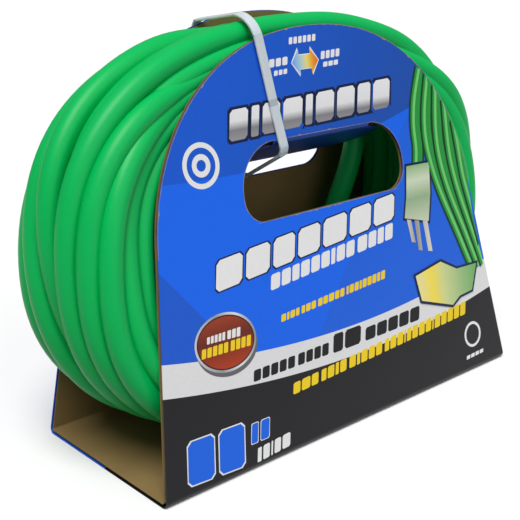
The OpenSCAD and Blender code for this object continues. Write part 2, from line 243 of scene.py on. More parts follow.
def near_pairs(points):
    """Pairs of the line's pieces that are close enough to touch, but aren't neighbours along it."""
    mid = (points[1:] + points[:-1]) / 2
    reach = (cord_d + 1.5 * rest_step) ** 2
    a, b = [], []
    size = 400
    square = (mid ** 2).sum(1)
    for start in range(0, len(mid), size):
        part = mid[start:start + size]
        apart = square[start:start + size, None] + square[None, :] - 2 * part @ mid.T
        i, j = np.nonzero(apart < reach)
        i = i + start
        keep = j - i > 6
        a.append(i[keep])
        b.append(j[keep])
    return np.concatenate(a), np.concatenate(b)


def closest(points, a, b):
    """For each pair of pieces, how far along each one their closest points lie."""
    p, q = points[a], points[b]
    u, v = points[a + 1] - p, points[b + 1] - q
    w = p - q
    uu = (u * u).sum(1)
    vv = (v * v).sum(1)
    uv = (u * v).sum(1)
    uw = (u * w).sum(1)
    vw = (v * w).sum(1)
    cross = np.maximum(uu * vv - uv * uv, 1e-14)
    s = np.clip((uv * vw - vv * uw) / cross, 0, 1)
    t = np.clip((uv * s + vw) / vv, 0, 1)
    s = np.clip((uv * t - uw) / uu, 0, 1)
    return s, t


def outline_push(points):
    """Keeps the cord inside the winding's section, off the panels and off the bottom."""
    middle, outwards, thick = coil_frame(angle_of(points))
    flat = points[:, [0, 2]]
    front, back = panel_gap(points[:, 0], points[:, 2])
    half = (back - front) / 2
    centre_y = (front + back) / 2
    u = ((flat - middle) * outwards).sum(1) / (thick - cord_r)
    w = (points[:, 1] - centre_y) / half
    side = np.abs(outwards[:, 0])
    power = 2.6 + 6 * (1 - side) ** 1.5
    size = (np.abs(u) ** power + np.abs(w) ** power) ** (1 / power)
    pull = np.where(size > 1, 1 / np.maximum(size, 1), 1)
    du = u * (pull - 1) * (thick - cord_r)
    dw = w * (pull - 1) * half
    push = np.stack([outwards[:, 0] * du, dw, outwards[:, 1] * du], -1)
    ceiling = 0.1668 - 0.34 * np.maximum(points[:, 1] - 0.002, 0)
    push[:, 2] += np.minimum(ceiling - points[:, 2] - push[:, 2], 0)
    above_flaps = 0.1336 - 0.02 * (np.maximum(np.abs(points[:, 0]) - 0.046, 0) / 0.014) ** 2
    lift = np.maximum(above_flaps - points[:, 2] - push[:, 2], 0)
    push[:, 2] += np.where(points[:, 2] > 0.112, lift, 0)
    return push


softness_top = 0.60


def unevenness(values, reach):
    """How far each point is off the bend that its neighbours on both sides have."""
    bend = np.zeros_like(values)
    bend[reach:-reach] = (values[:-2 * reach] + values[2 * reach:]) / 2 - values[reach:-reach]
    uneven = np.zeros_like(values)
    uneven[reach:-reach] = bend[reach:-reach] - (bend[:-2 * reach] + bend[2 * reach:]) / 2
    return uneven


def settle(points, rounds):
    """Pushes the turns apart a little at a time, with the stiffness and the length kept."""
    moving = ~held
    for n in range(rounds):
        if n % 8 == 0:
            a, b = near_pairs(points)
        s, t = closest(points, a, b)
        near_a = points[a] * (1 - s)[:, None] + points[a + 1] * s[:, None]
        near_b = points[b] * (1 - t)[:, None] + points[b + 1] * t[:, None]
        gap = near_a - near_b
        far = np.linalg.norm(gap, axis=1)
        mid = (near_a + near_b) / 2
        middle, outwards, thick = coil_frame(angle_of(mid))
        inside = thick - ((mid[:, [0, 2]] - middle) * outwards).sum(1)
        squeezed = np.clip((inside - 0.9 * cord_d) / (0.7 * cord_d), 0, 1)
        top = np.clip(1.2 * outwards[:, 1] + 0.2, 0.2, 1)
        wanted = cord_d * (1 - (1 - softness_top) * squeezed * top)
        touch = far < wanted
        i, j = a[touch], b[touch]
        si, tj = s[touch], t[touch]
        share = (wanted - far)[touch] / ((1 - si) ** 2 + si ** 2 + (1 - tj) ** 2 + tj ** 2)
        way = gap[touch] / np.maximum(far[touch], 1e-6)[:, None] * share[:, None]
        index = np.concatenate([i, i + 1, j, j + 1])
        weight = np.concatenate([1 - si, si, -(1 - tj), -tj])
        moves = np.concatenate([way, way, way, way]) * weight[:, None]
        total = np.stack([np.bincount(index, moves[:, c], len(points)) for c in range(3)], -1)
        count = np.bincount(index, np.abs(weight), len(points))
        firm = 1.7 if n < 0.65 * rounds else 0.9
        step = firm * total / np.maximum(count, 1)[:, None]

        middle, outwards, thick = coil_frame(angle_of(points))
        offset = ((points[:, [0, 2]] - middle) * outwards).sum(1)
        stray = np.stack([offset, points[:, 1]], -1)
        fair = sum(0.1 * unevenness(stray, reach) for reach in (2, 4, 7))
        step[:, [0, 2]] += outwards * fair[:, :1] * in_coil[:, None]
        step[:, 1] += fair[:, 1] * in_coil
        step += 0.12 * unevenness(points, 1)
        step += 0.2 * unevenness(points, 3) * (1 - in_coil)[:, None]
        spring = 0.000075
        step[:, [0, 2]] += spring * outwards * in_coil[:, None]

        points[moving] += step[moving]
        for _ in range(4):
            run = points[1:] - points[:-1]
            long = np.linalg.norm(run, axis=1)
            pull = run * ((long - rest_step) / long * np.where(long > rest_step, 0.3, 0.05))[:, None]
            step = np.zeros_like(points)
            step[:-1] += pull
            step[1:] -= pull
            points[moving] += step[moving]
        points[moving] += (outline_push(points) * in_coil[:, None])[moving]
    return points


line = settle(line, 700)
for _ in range(12):
    line[~held] += 0.25 * unevenness(line, 1)[~held]
    line[~held] += 0.3 * (outline_push(line) * in_coil[:, None])[~held]

ring_step = cord_length / 3700
centreline = spaced(line, ring_step)


def swept_tube(name, centre, radius, sides):
    """A round tube along a line, its rings turned as little as they can be, with a UV map."""
    run = np.gradient(centre, axis=0)
    run /= np.linalg.norm(run, axis=1)[:, None]
    side = np.empty_like(centre)
    side[0] = np.cross(run[0], (0, 0, 1))
    for i in range(1, len(centre)):
        side[i] = side[i - 1] - run[i] * (side[i - 1] @ run[i])
        side[i] /= np.linalg.norm(side[i])
    side[0] /= np.linalg.norm(side[0])
    other = np.cross(run, side)
    turn = np.arange(sides) * 2 * math.pi / sides
    rings = centre[:, None, :] + radius * (
        np.cos(turn)[None, :, None] * side[:, None, :] + np.sin(turn)[None, :, None] * other[:, None, :])
    count = len(centre)
    i, j = np.meshgrid(np.arange(count - 1), np.arange(sides), indexing="ij")
    after = (j + 1) % sides
    quads = np.stack([i * sides + j, i * sides + after, (i + 1) * sides + after, (i + 1) * sides + j], -1)
    faces = quads.reshape(-1, 4).tolist()
    faces += [list(range(sides))[::-1], list(range((count - 1) * sides, count * sides))]
    mesh = bpy.data.meshes.new(name)
    mesh.from_pydata(rings.reshape(-1, 3).tolist(), [], faces)
    along = np.concatenate([[0], np.cumsum(np.linalg.norm(np.diff(centre, axis=0), axis=1))])
    uv = mesh.uv_layers.new(name="along")
    corner = np.stack([
        np.stack([along[i], j / sides], -1), np.stack([along[i], (j + 1) / sides], -1),
        np.stack([along[i + 1], (j + 1) / sides], -1), np.stack([along[i + 1], j / sides], -1)], 2)
    values = np.zeros((len(mesh.loops), 2))
    flat = corner.reshape(-1, 2)
    values[:len(flat)] = flat
    uv.data.foreach_set("uv", values.ravel())
    mesh.polygons.foreach_set("use_smooth", [True] * len(mesh.polygons))
    piece = bpy.data.objects.new(name, mesh)
    bpy.context.collection.objects.link(piece)
    return piece


cord = swept_tube("cord", centreline, cord_r, 24)

def grain_group():
    """A fine uneven surface: Spread is how much a colour varies, and Height is the same for a bump."""
    group = bpy.data.node_groups.new("uneven_surface", "ShaderNodeTree")
    sockets = group.interface
    sockets.new_socket("Colour", in_out="INPUT", socket_type="NodeSocketColor")
    sockets.new_socket("Patch scale", in_out="INPUT", socket_type="NodeSocketFloat")
    sockets.new_socket("Grain scale", in_out="INPUT", socket_type="NodeSocketFloat")
    sockets.new_socket("Spread", in_out="INPUT", socket_type="NodeSocketFloat")
    sockets.new_socket("Roughness", in_out="INPUT", socket_type="NodeSocketFloat")
    sockets.new_socket("Colour", in_out="OUTPUT", socket_type="NodeSocketColor")
    sockets.new_socket("Roughness", in_out="OUTPUT", socket_type="NodeSocketFloat")
    sockets.new_socket("Height", in_out="OUTPUT", socket_type="NodeSocketFloat")
    nodes, links = group.nodes, group.links
    given = nodes.new("NodeGroupInput")
    made = nodes.new("NodeGroupOutput")
    place = nodes.new("ShaderNodeTexCoord")
    patch = nodes.new("ShaderNodeTexNoise")
    patch.inputs["Detail"].default_value = 4
    grain = nodes.new("ShaderNodeTexNoise")
    grain.inputs["Detail"].default_value = 3
    links.new(place.outputs["Object"], patch.inputs["Vector"])
    links.new(place.outputs["Object"], grain.inputs["Vector"])
    links.new(given.outputs["Patch scale"], patch.inputs["Scale"])
    links.new(given.outputs["Grain scale"], grain.inputs["Scale"])
    both = nodes.new("ShaderNodeMath")
    both.operation = "ADD"
    links.new(patch.outputs["Fac"], both.inputs[0])
    links.new(grain.outputs["Fac"], both.inputs[1])
    off = nodes.new("ShaderNodeMath")
    off.operation = "SUBTRACT"
    off.inputs[1].default_value = 1
    links.new(both.outputs[0], off.inputs[0])
    by = nodes.new("ShaderNodeMath")
    by.operation = "MULTIPLY"
    links.new(off.outputs[0], by.inputs[0])
    links.new(given.outputs["Spread"], by.inputs[1])
    value = nodes.new("ShaderNodeMath")
    value.operation = "ADD"
    value.inputs[1].default_value = 1
    links.new(by.outputs[0], value.inputs[0])
    shade = nodes.new("ShaderNodeHueSaturation")
    links.new(given.outputs["Colour"], shade.inputs["Color"])
    links.new(value.outputs[0], shade.inputs["Value"])
    links.new(shade.outputs["Color"], made.inputs["Colour"])
    rough = nodes.new("ShaderNodeMath")
    rough.operation = "MULTIPLY"
    links.new(given.outputs["Roughness"], rough.inputs[0])
    links.new(value.outputs[0], rough.inputs[1])
    links.new(rough.outputs[0], made.inputs["Roughness"])
    links.new(grain.outputs["Fac"], made.inputs["Height"])
    return group


uneven_surface = grain_group()


def finish_of(name, colour, roughness, patches, grain, spread, bump, **plain):
    """A material with the uneven surface; plain holds the shader's other inputs, by name."""
    made = bpy.data.materials.new(name)
    made.use_nodes = True
    nodes, links = made.node_tree.nodes, made.node_tree.links
    shader = nodes["Principled BSDF"]
    surface = nodes.new("ShaderNodeGroup")
    surface.node_tree = uneven_surface
    surface.name = "surface"
    surface.inputs["Colour"].default_value = (*colour, 1)
    surface.inputs["Patch scale"].default_value = patches
    surface.inputs["Grain scale"].default_value = grain
    surface.inputs["Spread"].default_value = spread
    surface.inputs["Roughness"].default_value = roughness
    links.new(surface.outputs["Colour"], shader.inputs["Base Color"])
    links.new(surface.outputs["Roughness"], shader.inputs["Roughness"])
    relief = nodes.new("ShaderNodeBump")
    relief.name = "relief"
    relief.inputs["Strength"].default_value = 1
    relief.inputs["Distance"].default_value = bump
    links.new(surface.outputs["Height"], relief.inputs["Height"])
    links.new(relief.outputs["Normal"], shader.inputs["Normal"])
    for socket, value in plain.items():
        shader.inputs[socket.replace("_", " ")].default_value = value
    return made


cord.data.materials.append(finish_of(
    "rubber_jacket", (0.0, 0.44, 0.092), 0.40, 30, 900, 0.10, 0.00002, Specular_IOR_Level=0.22))
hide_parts("cord_coil", "plug_lead", "connector_lead")
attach(cord, "root")


# ---- carton sleeve -------------------------------------------------------------------------
# One blank of 2 mm corrugated board, folded up at two creases: a printed liner outside, a
# fluted sheet in the middle and a raw kraft liner inside. The hand holes' flaps stay on it.
crease_r = 0.0026
liner_t = 0.00035
arch_half_w = 0.092
arch_base = 0.078
arch_rise = 0.093
arch_power = 2.2
base_w = 0.210
hole_half_w = 0.0468
hole_top = 0.1274
hole_bottom = 0.0964
hole_upper_r = 0.019
hole_lower_r = 0.010
leans = {-1: front_lean, 1: back_lean}


def crease(side):
    """Where a crease starts on the blank, how far it turns, and how long its tangent is."""
    turn = math.pi / 2 + leans[side]
    tangent = crease_r * math.tan(turn / 2)
    return base_d / 2 - tangent, turn, tangent


def blank_at(side, v):
    """How far along the blank a height up a panel's slope is."""
    start, turn, tangent = crease(side)
    return side * (start + crease_r * turn + v - tangent)


def folded(points):
    """Folds points of the flat blank, given as (x, along, depth below the printed face)."""
    points = np.array(points, float)
    along, depth = points[:, 1], points[:, 2]
    y = along.copy()
    z = depth.copy()
    for side in (-1, 1):
        start, turn, tangent = crease(side)
        past = side * along - start
        here = past > 0
        bent = np.clip(past / crease_r, 0, turn)
        beyond = np.maximum(past - crease_r * turn, 0)
        y_here = start + (crease_r - depth) * np.sin(bent) + beyond * np.cos(turn)
        z_here = crease_r - (crease_r - depth) * np.cos(bent) + beyond * np.sin(turn)
        y[here] = side * y_here[here]
        z[here] = z_here[here]
    return np.stack([points[:, 0], y, z], -1)


def on_panel(points, side, angle=0.0):
    """Puts (x, v, depth) points of a flat panel in place, turned inwards about the hole's top edge."""
    points = np.array(points, float)
    v, n = points[:, 1] - hole_top, board_t - points[:, 2]
    up = hole_top + v * math.cos(angle) - n * math.sin(angle)
    out = v * math.sin(angle) + n * math.cos(angle) - board_t
    lean = leans[side]
    y = -base_d / 2 + up * math.sin(lean) - out * math.cos(lean)
    z = up * math.cos(lean) + out * math.sin(lean)
    return np.stack([points[:, 0], -side * y, z], -1)


def arc(x, y, r, start, end, steps=10):
    turns = np.radians(np.linspace(start, end, steps + 1))
    return [(x + r * math.cos(a), y + r * math.sin(a)) for a in turns]


def arch(inset=0.0):
    """The arch's points (x, v), from its right spring line over the top to its left."""
    angles = np.arange(3, 70) * math.pi / 72
    reach = [arch_half_w - inset, arch_rise - inset]
    return [(reach[0] * np.sign(np.cos(a)) * abs(np.cos(a)) ** (2 / arch_power),
             arch_base + reach[1] * np.sin(a) ** (2 / arch_power)) for a in angles]


def hand_hole(inset=0.0):
    w, top, bottom = hole_half_w - inset, hole_top - inset, hole_bottom + inset
    u, l = hole_upper_r - inset, hole_lower_r - inset
    return (arc(w - u, top - u, u, 0, 90) + arc(u - w, top - u, u, 90, 180)
            + arc(l - w, bottom + l, l, 180, 270) + arc(w - l, bottom + l, l, 270, 360))


def flat_sheet(name, outlines, low, high):
    """A flat sheet cut to closed outlines in (x, y), from one height to another."""
    curve = bpy.data.curves.new(name, "CURVE")
    curve.dimensions = "2D"
    curve.fill_mode = "BOTH"
    curve.extrude = (high - low) / 2
    for outline in outlines:
        spline = curve.splines.new("POLY")
        spline.points.add(len(outline) - 1)
        spline.points.foreach_set("co", [c for x, y in outline for c in (x, y, 0, 1)])
        spline.use_cyclic_u = True
    piece = bpy.data.objects.new(name, curve)
    bpy.context.collection.objects.link(piece)
    bpy.ops.object.select_all(action="DESELECT")
    bpy.context.view_layer.objects.active = piece
    piece.select_set(True)
    bpy.ops.object.convert(target="MESH")
    piece = bpy.context.object
    for vertex in piece.data.vertices:
        vertex.co.z += (low + high) / 2
    bpy.ops.object.mode_set(mode="EDIT")
    bpy.ops.mesh.select_all(action="SELECT")
    bpy.ops.mesh.remove_doubles(threshold=0.000001)
    bpy.ops.mesh.normals_make_consistent(inside=False)
    bpy.ops.object.mode_set(mode="OBJECT")
    return piece


def reshape(piece, shape, **given):
    """Moves a piece's points by one of the shapes above, and smooths its gentle edges."""
    points = np.array([v.co for v in piece.data.vertices])
    piece.data.vertices.foreach_set("co", shape(points, **given).ravel())
    bpy.ops.object.select_all(action="DESELECT")
    bpy.context.view_layer.objects.active = piece
    piece.select_set(True)
    bpy.ops.object.mode_set(mode="EDIT")
    bpy.ops.mesh.select_all(action="SELECT")
    bpy.ops.mesh.normals_make_consistent(inside=False)
    bpy.ops.object.mode_set(mode="OBJECT")
    bpy.ops.object.shade_smooth_by_angle(angle=math.radians(35))


def blank_outlines(inset=0.0):
    front = [(x, blank_at(-1, v)) for x, v in arch(inset)]
    back = [(x, blank_at(1, v)) for x, v in arch(inset)][::-1]
    corner = base_w / 2 - inset
    foot = [(-corner, blank_at(-1, 0)), (-corner, blank_at(1, 0))]
    other_foot = [(corner, blank_at(1, 0)), (corner, blank_at(-1, 0))]
    holes = [[(x, blank_at(side, v)) for x, v in hand_hole(-inset)] for side in (-1, 1)]
    return [front + foot + back + other_foot] + holes


def sleeve_liner(name, low, high):
    piece = flat_sheet(name, blank_outlines(), low, high)
    bpy.ops.object.mode_set(mode="EDIT")
    for side in (-1, 1):
        start, turn, tangent = crease(side)
        for step in range(11):
            bpy.ops.mesh.select_all(action="SELECT")
            cut = side * (start + crease_r * turn * step / 10)
            bpy.ops.mesh.bisect(plane_co=(0, cut, 0), plane_no=(0, 1, 0))
    bpy.ops.object.mode_set(mode="OBJECT")
    reshape(piece, folded)
    return piece


def hole_span(x, inset):
    """The hand hole's bottom and top at x, or None beside it."""
    w = hole_half_w + inset
    if abs(x) >= w:
        return None
    spans = []
    for edge, r, way in ((hole_bottom, hole_lower_r, 1), (hole_top, hole_upper_r, -1)):
        r = r + inset
        past = max(abs(x) - (w - r), 0)
        spans.append(edge - way * inset + way * (r - math.sqrt(r * r - past * past)))
    return spans


def arch_height(x, inset):
    half = arch_half_w - inset
    if abs(x) < half * 0.995:
        return arch_base + (arch_rise - inset) * (1 - (abs(x) / half) ** arch_power) ** (1 / arch_power)
    return max((base_w / 2 - inset - abs(x)) / (base_w / 2 - arch_half_w) * arch_base, 0)


flute_pitch = 0.0036
flute_steps = 8


def fluted_sheet(name, columns, rows, half_w, shape, **given):
    """The wavy sheet between the liners; columns(x) gives the stretches of board at x."""
    count = int(2 * half_w / flute_pitch * flute_steps)
    xs = np.linspace(-half_w, half_w, count)
    deep = (board_t - 2 * liner_t) / 2 - 0.0001
    points, faces, before = [], [], []
    for x in xs:
        wave = board_t / 2 + deep * math.sin(2 * math.pi * x / flute_pitch)
        starts = []
        for low, high in columns(x):
            starts.append(len(points))
            points += [(x, min(max(row, low), high), wave) for row in rows]
        if len(starts) == len(before):
            for a, b in zip(before, starts):
                faces += [(a + i, b + i, b + i + 1, a + i + 1) for i in range(len(rows) - 1)]
        before = starts
    mesh = bpy.data.meshes.new(name)
    mesh.from_pydata(points, [], faces)
    piece = bpy.data.objects.new(name, mesh)
    bpy.context.collection.objects.link(piece)
    bpy.ops.object.select_all(action="DESELECT")
    bpy.context.view_layer.objects.active = piece
    piece.select_set(True)
    bpy.ops.object.mode_set(mode="EDIT")
    bpy.ops.mesh.select_all(action="SELECT")
    bpy.ops.mesh.remove_doubles(threshold=0.00002)
    bpy.ops.mesh.dissolve_degenerate(threshold=0.00002)
    bpy.ops.object.mode_set(mode="OBJECT")
    thick = piece.modifiers.new("thick", "SOLIDIFY")
    thick.thickness = 0.00022
    thick.offset = 0
    bpy.ops.object.modifier_apply(modifier="thick")
    reshape(piece, shape, **given)
    return piece


def sleeve_columns(x):
    top = arch_height(x, 0.0003)
    span = hole_span(x, 0.0003)
    if span is None:
        return [(blank_at(-1, top), blank_at(1, top))] if top > 0.004 else []
    return [(blank_at(-1, top), blank_at(-1, span[1])), (blank_at(-1, span[0]), blank_at(1, span[0])),
            (blank_at(1, span[1]), blank_at(1, top))]


sleeve_rows = [blank_at(-1, v) for v in np.linspace(0.18, 0.006, 6)]
for side in (-1, 1):
    start, turn, tangent = crease(side)
    sleeve_rows += [side * (start + crease_r * turn * step / 8) for step in range(9)]
sleeve_rows = sorted(sleeve_rows + [blank_at(1, v) for v in np.linspace(0.006, 0.18, 6)])

kraft = finish_of("raw_kraft", (0.225, 0.150, 0.058), 0.85, 45, 1500, 0.30, 0.00003, Specular_IOR_Level=0.2)
fluting = finish_of("kraft_fluting", (0.13, 0.088, 0.042), 0.9, 60, 1800, 0.35, 0.00003,
                    Specular_IOR_Level=0.1)


def print_field():
    """The printed face: blue with shaded facets, a white band that sweeps across, and black below."""
    made = finish_of("printed_liner", (0.02, 0.13, 0.80), 0.34, 14, 700, 0.10, 0.000012,
                     Specular_IOR_Level=0.2)
    nodes, links = made.node_tree.nodes, made.node_tree.links
    surface = nodes["surface"]
    place = nodes.new("ShaderNodeTexCoord")
    axes = nodes.new("ShaderNodeSeparateXYZ")
    links.new(place.outputs["Object"], axes.inputs["Vector"])

    def math_of(operation, a, b):
        node = nodes.new("ShaderNodeMath")
        node.operation = operation
        for socket, value in zip(node.inputs, (a, b)):
            if isinstance(value, (int, float)):
                socket.default_value = value
            else:
                links.new(value, socket)
        return node.outputs[0]

    x = axes.outputs["X"]
    v = math_of("DIVIDE", axes.outputs["Z"], math.cos(front_lean))

    def above(base, rise, middle, soft):
        """1 above the curve v = base + rise (x - middle)^2, over a soft edge."""
        off = math_of("SUBTRACT", x, middle)
        edge = math_of("ADD", math_of("MULTIPLY", math_of("MULTIPLY", off, off), rise), base)
        over = math_of("DIVIDE", math_of("SUBTRACT", v, edge), soft)
        return math_of("MINIMUM", math_of("MAXIMUM", over, 0), 1)

    def beyond(x0, v0, x1, v1, soft):
        """1 on the right of the line from one point up to another."""
        run = math.hypot(x1 - x0, v1 - v0)
        a, b = (v1 - v0) / run, -(x1 - x0) / run
        across = math_of("ADD", math_of("MULTIPLY", math_of("SUBTRACT", x, x0), a),
                         math_of("MULTIPLY", math_of("SUBTRACT", v, v0), b))
        return math_of("MINIMUM", math_of("MAXIMUM", math_of("DIVIDE", across, soft), 0), 1)

    def blend(colour, other, mask):
        node = nodes.new("ShaderNodeMix")
        node.data_type = "RGBA"
        for socket, value in ((node.inputs[6], colour), (node.inputs[7], other)):
            if isinstance(value, tuple):
                socket.default_value = (*value, 1)
            else:
                links.new(value, socket)
        links.new(mask, node.inputs[0])
        return node.outputs[2]

    sharp = 0.0001
    right_shade = math_of("MULTIPLY", beyond(0.0195, 0.046, 0.0356, 0.092, sharp), 0.75)
    low_fade = beyond(-0.110, 0.030, 0.060, 0.110, 0.09)
    blue = blend((0.014, 0.105, 0.62), (0.010, 0.125, 0.80), low_fade)
    blue = blend(blue, (0.008, 0.055, 0.30), right_shade)
    left_facet = math_of("SUBTRACT", 1, beyond(-0.0705, 0.0607, -0.0916, 0.0871, sharp))
    blue = blend((0.010, 0.135, 0.84), blue, left_facet)
    ray = math_of("MULTIPLY", beyond(0.030, 0.100, 0.0585, 0.1335, sharp), 0.55)
    blue = blend(blue, (0.016, 0.115, 0.62), ray)
    top_zone = above(0.1173, 1.2, -0.050, sharp)
    dusk = blend((0.009, 0.100, 0.62), (0.014, 0.075, 0.37), beyond(-0.090, 0.10, 0.050, 0.30, 0.11))
    blue = blend(blue, dusk, top_zone)
    white = blend((0.75, 0.75, 0.76), blue, above(0.0432, 1.05, 0.005, sharp))
    whole = blend((0.010, 0.010, 0.012), white, above(0.0302, 0.95, 0.010, sharp))
    front_face = math_of("LESS_THAN", axes.outputs["Y"], 0.0)
    whole = blend((0.012, 0.105, 0.62), whole, front_face)
    links.new(whole, surface.inputs["Colour"])
    return made


printed = print_field()
outer_liner = sleeve_liner("sleeve_printed_liner", 0, liner_t)
outer_liner.data.materials.append(printed)
middle_sheet = fluted_sheet("sleeve_fluting", sleeve_columns, sleeve_rows, base_w / 2 - 0.0003, folded)
middle_sheet.data.materials.append(fluting)
inner_liner = sleeve_liner("sleeve_kraft_liner", board_t - liner_t, board_t)
inner_liner.data.materials.append(kraft)
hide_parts("carton_front_panel", "carton_back_panel", "carton_bottom_panel")
for piece, slot in (
        (outer_liner, "printed_board"), (middle_sheet, "kraft_board"), (inner_liner, "kraft_board")):
    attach(piece, "root")


# ---- hand-hole flaps -----------------------------------------------------------------------
# The cut-out of each hand hole stays on along its top edge and is pushed in, so that the
# printed side of the front one faces down. The fold is a rounded strip of the printed liner.
flap_angles = {-1: front_lean + math.radians(64), 1: back_lean + math.radians(78)}
flap_gap = 0.0004
flap_half_w = hole_half_w - flap_gap


def flap_columns(x):
    span = hole_span(x, -flap_gap - 0.0003)
    return [] if span is None else [(span[0], span[1])]


def fold_strip(name, side):
    """The printed liner round the outside of a flap's fold, between the panel and the flap."""
    half = hole_half_w - hole_upper_r
    steps = 10
    rows, faces = [], []
    lean = leans[side]
    for depth in (0.0, liner_t):
        for i in range(steps + 1):
            angle = flap_angles[side] * i / steps
            r = board_t - depth
            v = hole_top - r * math.sin(angle)
            n = -board_t + r * math.cos(angle)
            for x in (-half, half):
                y = -base_d / 2 + v * math.sin(lean) - n * math.cos(lean)
                rows.append((x, -side * y, v * math.cos(lean) + n * math.sin(lean)))
    layer = 2 * (steps + 1)
    for i in range(steps):
        a = 2 * i
        faces.append((a, a + 1, a + 3, a + 2))
        faces.append((layer + a, layer + a + 2, layer + a + 3, layer + a + 1))
        faces.append((a, a + 2, layer + a + 2, layer + a))
        faces.append((a + 1, layer + a + 1, layer + a + 3, a + 3))
    faces += [(0, layer, layer + 1, 1), (layer - 2, layer - 1, 2 * layer - 1, 2 * layer - 2)]
    mesh = bpy.data.meshes.new(name)
    mesh.from_pydata(rows, [], faces)
    piece = bpy.data.objects.new(name, mesh)
    bpy.context.collection.objects.link(piece)
    reshape(piece, np.array)
    return piece


# The flaps' printed faces get a darker copy of the printed blue: painted shade, for print that faces down
# into the dark inside of the sleeve.
painted_shade_flap_print = finish_of("painted_shade_flap_print", (0.007, 0.05, 0.28), 0.36, 20, 700, 0.10, 0.000012,
                       Specular_IOR_Level=0.2)
for side, place in ((-1, "front"), (1, "back")):
    angle = flap_angles[side]
    body = place + "_flap"
    skin = flat_sheet(place + "_flap_printed_liner", [hand_hole(flap_gap)], 0, liner_t)
    reshape(skin, on_panel, side=side, angle=angle)
    skin.data.materials.append(painted_shade_flap_print)
    rows = list(np.linspace(hole_bottom, hole_top, 5))
    middle = fluted_sheet(place + "_flap_fluting", flap_columns, rows, flap_half_w - 0.0004, on_panel,
                          side=side, angle=angle)
    middle.data.materials.append(fluting)
    raw = flat_sheet(place + "_flap_kraft_liner", [hand_hole(flap_gap)], board_t - liner_t, board_t)
    reshape(raw, on_panel, side=side, angle=angle)
    raw.data.materials.append(kraft)
    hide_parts(place + "_handle_flap")
    for piece, slot in ((skin, "printed_board"), (middle, "kraft_board"), (raw, "kraft_board")):
        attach(piece, body)
    strip = fold_strip(place + "_fold", side)
    # The fold's printed liner gets the same darker copy of the blue: painted shade.
    strip.data.materials.append(painted_shade_flap_print)
    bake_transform(strip)


# ---- printed artwork -----------------------------------------------------------------------
# Ink on the front panel's liner: plain blocks and bars where a real sleeve has its wording, a
# red badge, a two-way arrow, and a drawing of the cord with its plug and connector.
ink_t = 0.00002


def half_panel(v):
    """Half of the panel's width at a height up its slope."""
    if v < arch_base:
        return base_w / 2 - (base_w / 2 - arch_half_w) * v / arch_base
    return arch_half_w * (1 - ((v - arch_base) / arch_rise) ** arch_power) ** (1 / arch_power)


def ink(name, outlines, material, level=1):
    """Ink shapes on the front panel, each level lying on the one below."""
    outlines = [[(max(min(x, half_panel(v) - 0.0006), 0.0006 - half_panel(v)), v) for x, v in shape]
                for shape in outlines]
    piece = flat_sheet(name, outlines, -ink_t * (level + 0.8), -ink_t * level)
    reshape(piece, on_panel, side=-1)
    piece.data.materials.append(material)
    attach(piece, "root")
    return piece


def blocks(start, end, heights, widths, gap=0.0011, lean=0.22, grow=0.0):
    """Leaning blocks in a row along a sloping line, as wide as each other's shares say."""
    length = end[0] - start[0] - gap * (len(widths) - 1)
    at, shapes = start[0], []
    for width in widths:
        w = width / sum(widths) * length
        corners = []
        for x, top in ((at, 0), (at + w, 0), (at + w, 1), (at, 1)):
            f = (x - start[0]) / (end[0] - start[0])
            h = heights[0] + (heights[1] - heights[0]) * f
            v = start[1] + (end[1] - start[1]) * f + top * h
            out = grow if x > at else -grow
            corners.append((x + top * lean * h + out, v + (grow if top else -grow)))
        cut = 0.14 * min(w, heights[0])
        shape = []
        for i, here in enumerate(corners):
            for near in (corners[i - 1], corners[(i + 1) % 4]):
                run = math.dist(here, near)
                f = cut / run
                shape.append((here[0] + (near[0] - here[0]) * f, here[1] + (near[1] - here[1]) * f))
        if width > 0.3:
            shapes.append(shape)
        at += w + gap
    return shapes


def ellipse(x, v, a, b, tilt=0.0, count=64):
    turns = np.arange(count) * 2 * math.pi / count
    c, s = math.cos(tilt), math.sin(tilt)
    return [(x + a * math.cos(t) * c - b * math.sin(t) * s, v + a * math.cos(t) * s + b * math.sin(t) * c)
            for t in turns]


def ribbon(points, width):
    line = spaced([(x, v, 0) for x, v in points], 0.003)[:, :2]
    run = np.gradient(line, axis=0)
    out = np.stack([-run[:, 1], run[:, 0]], -1) / np.linalg.norm(run, axis=1)[:, None] * width / 2
    return [tuple(p) for p in np.vstack([line + out, (line - out)[::-1]])]


def ink_finish(name, colour):
    return finish_of(name, colour, 0.34, 30, 900, 0.08, 0.00001, Specular_IOR_Level=0.2)


def ink_shaded(name, axis, stops):
    """An ink whose colour changes across the panel: stops are places on the axis, with colours."""
    made = ink_finish(name, stops[0][1])
    nodes, links = made.node_tree.nodes, made.node_tree.links
    place = nodes.new("ShaderNodeTexCoord")
    axes = nodes.new("ShaderNodeSeparateXYZ")
    links.new(place.outputs["Object"], axes.inputs["Vector"])
    span = nodes.new("ShaderNodeMapRange")
    span.inputs["From Min"].default_value = stops[0][0]
    span.inputs["From Max"].default_value = stops[-1][0]
    links.new(axes.outputs[axis], span.inputs["Value"])
    ramp = nodes.new("ShaderNodeValToRGB")
    while len(ramp.color_ramp.elements) < len(stops):
        ramp.color_ramp.elements.new(0.5)
    for element, (at, colour) in zip(ramp.color_ramp.elements, stops):
        element.position = (at - stops[0][0]) / (stops[-1][0] - stops[0][0])
        element.color = (*colour, 1)
    links.new(span.outputs["Result"], ramp.inputs["Fac"])
    links.new(ramp.outputs["Color"], nodes["surface"].inputs["Colour"])
    return made


